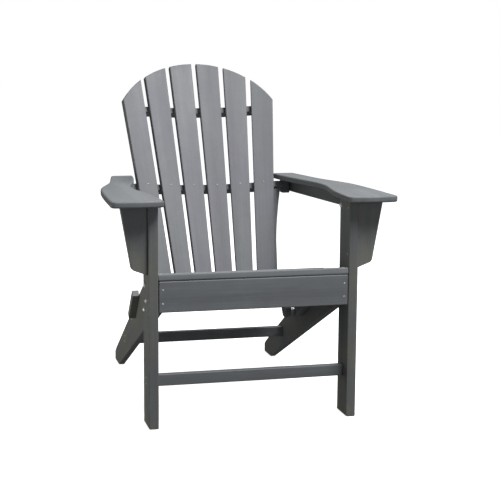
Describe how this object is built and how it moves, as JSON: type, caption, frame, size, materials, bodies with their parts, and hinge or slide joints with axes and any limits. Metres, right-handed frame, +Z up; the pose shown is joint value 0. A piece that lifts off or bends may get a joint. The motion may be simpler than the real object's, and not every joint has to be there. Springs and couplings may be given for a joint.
{
  "type": "adirondack chair",
  "caption": "Fan-back adirondack chair: raked slatted back hollowed across, sloping slatted seat, broad shaped arms on square-cut legs with tapered brackets, long stringers to the rear feet.",
  "frame": {"origin": "centre of the bounding box in plan, at floor level", "axes": "+X across the chair, -Y the way a sitter faces, +Z up"},
  "size_m": [0.782, 0.864, 0.9588],
  "materials": {
    "poly_lumber": "slate grey poly lumber, fine lengthwise grain, satin",
    "bolt_steel": "stainless carriage bolts and nuts"
  },
  "bodies": {
    "root": {"front_leg_left": "poly_lumber", "front_leg_right": "poly_lumber", "stringer_left": "poly_lumber", "stringer_right": "poly_lumber", "stringer_cleat_left": "poly_lumber", "stringer_cleat_right": "poly_lumber", "front_stretcher": "poly_lumber", "rear_stretcher": "poly_lumber", "apron": "poly_lumber", "seat_slat_1": "poly_lumber", "seat_slat_2": "poly_lumber", "seat_slat_3": "poly_lumber", "seat_slat_4": "poly_lumber", "seat_slat_5": "poly_lumber", "seat_slat_6": "poly_lumber", "seat_rail_left": "poly_lumber", "seat_rail_right": "poly_lumber", "arm_left": "poly_lumber", "arm_right": "poly_lumber", "arm_bracket_left": "poly_lumber", "arm_bracket_right": "poly_lumber", "arm_rail_left": "poly_lumber", "arm_rail_right": "poly_lumber", "arm_block_left": "poly_lumber", "arm_block_right": "poly_lumber", "back_slat_1": "poly_lumber", "back_slat_2": "poly_lumber", "back_slat_3": "poly_lumber", "back_slat_4": "poly_lumber", "back_slat_5": "poly_lumber", "back_slat_6": "poly_lumber", "crossbar_top": "poly_lumber", "crossbar_middle": "poly_lumber", "crossbar_low": "poly_lumber", "back_stile_left": "poly_lumber", "back_stile_right": "poly_lumber", "back_foot_left": "poly_lumber", "back_foot_right": "poly_lumber", "leg_bolt_left_1": "bolt_steel", "leg_bolt_left_2": "bolt_steel", "leg_bolt_left_3": "bolt_steel", "rail_bolt_left": "bolt_steel", "back_bolt_left": "bolt_steel", "leg_bolt_right_1": "bolt_steel", "leg_bolt_right_2": "bolt_steel", "leg_bolt_right_3": "bolt_steel", "rail_bolt_right": "bolt_steel", "back_bolt_right": "bolt_steel"}
  },
  "joints": []
}
